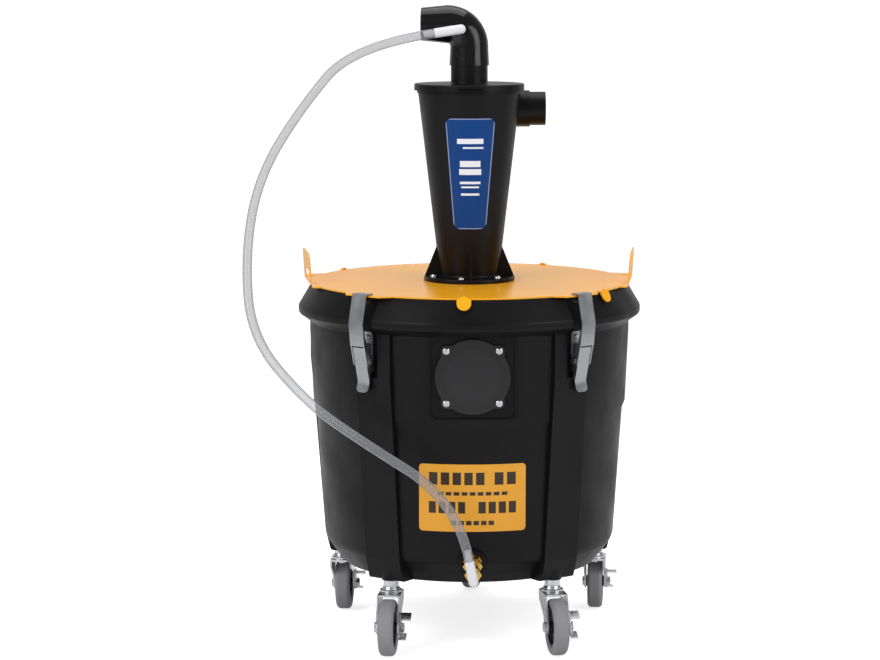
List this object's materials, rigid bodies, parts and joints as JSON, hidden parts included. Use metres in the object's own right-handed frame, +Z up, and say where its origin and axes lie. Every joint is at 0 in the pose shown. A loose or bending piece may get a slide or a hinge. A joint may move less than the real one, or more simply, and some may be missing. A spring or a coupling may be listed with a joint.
{
  "type": "dust collector",
  "caption": "Cyclone dust separator with a side inlet and an elbow outlet on the latched sheet-metal lid of a round wheeled collection bin, with a clear vacuum hose to the bin.",
  "frame": {"origin": "on the vertical axis of the bin at floor level, midway between the front and rear limits", "axes": "+Z up, -Y towards the front with the window, +X the way the inlet spigot points"},
  "size_m": [0.5476, 0.526, 0.8662],
  "materials": {
    "bin_plastic": "moulded",
    "cyclone_plastic": "satin",
    "elbow_plastic": "gloss",
    "clear_pane": "clear",
    "black_rubber": "matt",
    "zinc_screw": "bright zinc",
    "amber_label": "printed film",
    "blue_label": "printed film",
    "brass": "turned",
    "white_nylon": "moulded",
    "amber_sheet": "powder coat",
    "clear_vinyl": "clear flexible",
    "caster_steel": "bright zinc",
    "latch_steel": "satin",
    "grey_tyre": "matt",
    "hub_plastic": "moulded"
  },
  "bodies": {
    "housing": {"bin_shell": "bin_plastic", "window_pane": "clear_pane", "window_seal": "black_rubber", "window_screws": "zinc_screw", "window_nuts": "zinc_screw", "bin_label": "amber_label", "port_bulkhead": "brass", "port_nut": "brass", "drain_barb": "white_nylon", "lid_plate": "amber_sheet", "lid_gasket": "black_rubber", "cyclone_gasket": "black_rubber", "cyclone_body": "cyclone_plastic", "cyclone_cap": "cyclone_plastic", "cyclone_label": "blue_label", "flange_screws": "zinc_screw", "flange_nuts": "zinc_screw", "outlet_elbow": "elbow_plastic", "elbow_barb": "white_nylon", "hose": "clear_vinyl", "caster_stems": "caster_steel", "latch_bases": "latch_steel", "latch_rivets": "zinc_screw", "latch_pins": "zinc_screw"},
    "lever_front_left": {"latch_lever_front_left": "latch_steel"},
    "strap_front_left": {"latch_strap_front_left": "latch_steel"},
    "lever_front_right": {"latch_lever_front_right": "latch_steel"},
    "strap_front_right": {"latch_strap_front_right": "latch_steel"},
    "lever_rear": {"latch_lever_rear": "latch_steel"},
    "strap_rear": {"latch_strap_rear": "latch_steel"},
    "swivel_front_left": {"fork_front_left": "caster_steel", "axle_front_left": "zinc_screw"},
    "wheel_front_left": {"tyre_front_left": "grey_tyre", "hub_front_left": "hub_plastic"},
    "brake_lever_front_left": {"brake_front_left": "caster_steel"},
    "swivel_front_right": {"fork_front_right": "caster_steel", "axle_front_right": "zinc_screw"},
    "wheel_front_right": {"tyre_front_right": "grey_tyre", "hub_front_right": "hub_plastic"},
    "brake_lever_front_right": {"brake_front_right": "caster_steel"},
    "swivel_rear_right": {"fork_rear_right": "caster_steel", "axle_rear_right": "zinc_screw"},
    "wheel_rear_right": {"tyre_rear_right": "grey_tyre", "hub_rear_right": "hub_plastic"},
    "brake_lever_rear_right": {"brake_rear_right": "caster_steel"},
    "swivel_rear_centre": {"fork_rear_centre": "caster_steel", "axle_rear_centre": "zinc_screw"},
    "wheel_rear_centre": {"tyre_rear_centre": "grey_tyre", "hub_rear_centre": "hub_plastic"},
    "brake_lever_rear_centre": {"brake_rear_centre": "caster_steel"},
    "swivel_rear_left": {"fork_rear_left": "caster_steel", "axle_rear_left": "zinc_screw"},
    "wheel_rear_left": {"tyre_rear_left": "grey_tyre", "hub_rear_left": "hub_plastic"},
    "brake_lever_rear_left": {"brake_rear_left": "caster_steel"}
  },
  "joints": [
    {"name": "latch_lever_front_left_hinge", "type": "hinge", "parent": "housing", "child": "lever_front_left", "pos_m": [-0.14632, -0.18069, 0.415], "axis": [-0.7771, 0.6293, 0], "range_deg": [0, 105]},
    {"name": "latch_strap_front_left_hinge", "type": "hinge", "parent": "lever_front_left", "child": "strap_front_left", "pos_m": [-0.14506, -0.17913, 0.399], "axis": [-0.7771, 0.6293, 0], "range_deg": [-105, 0]},
    {"name": "latch_lever_front_right_hinge", "type": "hinge", "parent": "housing", "child": "lever_front_right", "pos_m": [0.14632, -0.18069, 0.415], "axis": [-0.7771, -0.6293, 0], "range_deg": [0, 105]},
    {"name": "latch_strap_front_right_hinge", "type": "hinge", "parent": "lever_front_right", "child": "strap_front_right", "pos_m": [0.14506, -0.17913, 0.399], "axis": [-0.7771, -0.6293, 0], "range_deg": [-105, 0]},
    {"name": "latch_lever_rear_hinge", "type": "hinge", "parent": "housing", "child": "lever_rear", "pos_m": [0, 0.2325, 0.415], "axis": [1, 0, 0], "range_deg": [0, 105]},
    {"name": "latch_strap_rear_hinge", "type": "hinge", "parent": "lever_rear", "child": "strap_rear", "pos_m": [0, 0.2305, 0.399], "axis": [1, 0, 0], "range_deg": [-105, 0]},
    {"name": "caster_front_left_swivel", "type": "hinge", "parent": "housing", "child": "swivel_front_left", "pos_m": [-0.10898, -0.15564, 0.085], "axis": [0, 0, 1], "continuous": true},
    {"name": "wheel_front_left_spin", "type": "hinge", "parent": "swivel_front_left", "child": "wheel_front_left", "pos_m": [-0.113, -0.18839, 0.0381], "axis": [0.9925, -0.1219, 0], "continuous": true},
    {"name": "brake_front_left_rock", "type": "hinge", "parent": "swivel_front_left", "child": "brake_lever_front_left", "pos_m": [-0.113, -0.18839, 0.0381], "axis": [0.9925, -0.1219, 0], "range_deg": [0, 22]},
    {"name": "caster_front_right_swivel", "type": "hinge", "parent": "housing", "child": "swivel_front_right", "pos_m": [0.10898, -0.15564, 0.085], "axis": [0, 0, 1], "continuous": true},
    {"name": "wheel_front_right_spin", "type": "hinge", "parent": "swivel_front_right", "child": "wheel_front_right", "pos_m": [0.11414, -0.18823, 0.0381], "axis": [0.9877, 0.1564, 0], "continuous": true},
    {"name": "brake_front_right_rock", "type": "hinge", "parent": "swivel_front_right", "child": "brake_lever_front_right", "pos_m": [0.11414, -0.18823, 0.0381], "axis": [0.9877, 0.1564, 0], "range_deg": [0, 22]},
    {"name": "caster_rear_right_swivel", "type": "hinge", "parent": "housing", "child": "swivel_rear_right", "pos_m": [0.1807, 0.05871, 0.085], "axis": [0, 0, 1], "continuous": true},
    {"name": "wheel_rear_right_spin", "type": "hinge", "parent": "swivel_rear_right", "child": "wheel_rear_right", "pos_m": [0.18415, 0.09153, 0.0381], "axis": [-0.9945, 0.1045, 0], "continuous": true},
    {"name": "brake_rear_right_rock", "type": "hinge", "parent": "swivel_rear_right", "child": "brake_lever_rear_right", "pos_m": [0.18415, 0.09153, 0.0381], "axis": [-0.9945, 0.1045, 0], "range_deg": [0, 22]},
    {"name": "caster_rear_centre_swivel", "type": "hinge", "parent": "housing", "child": "swivel_rear_centre", "pos_m": [0, 0.19, 0.085], "axis": [0, 0, 1], "continuous": true},
    {"name": "wheel_rear_centre_spin", "type": "hinge", "parent": "swivel_rear_centre", "child": "wheel_rear_centre", "pos_m": [0.00854, 0.22188, 0.0381], "axis": [-0.9659, 0.2588, 0], "continuous": true},
    {"name": "brake_rear_centre_rock", "type": "hinge", "parent": "swivel_rear_centre", "child": "brake_lever_rear_centre", "pos_m": [0.00854, 0.22188, 0.0381], "axis": [-0.9659, 0.2588, 0], "range_deg": [0, 22]},
    {"name": "caster_rear_left_swivel", "type": "hinge", "parent": "housing", "child": "swivel_rear_left", "pos_m": [-0.1807, 0.05871, 0.085], "axis": [0, 0, 1], "continuous": true},
    {"name": "wheel_rear_left_spin", "type": "hinge", "parent": "swivel_rear_left", "child": "wheel_rear_left", "pos_m": [-0.17783, 0.09159, 0.0381], "axis": [-0.9962, 0.0872, 0], "continuous": true},
    {"name": "brake_rear_left_rock", "type": "hinge", "parent": "swivel_rear_left", "child": "brake_lever_rear_left", "pos_m": [-0.17783, 0.09159, 0.0381], "axis": [-0.9962, 0.0872, 0], "range_deg": [0, 22]}
  ],
  "couplings": [
    {"joint": "latch_strap_front_left_hinge", "follows": "latch_lever_front_left_hinge", "ratio": -1},
    {"joint": "latch_strap_front_right_hinge", "follows": "latch_lever_front_right_hinge", "ratio": -1},
    {"joint": "latch_strap_rear_hinge", "follows": "latch_lever_rear_hinge", "ratio": -1}
  ]
}
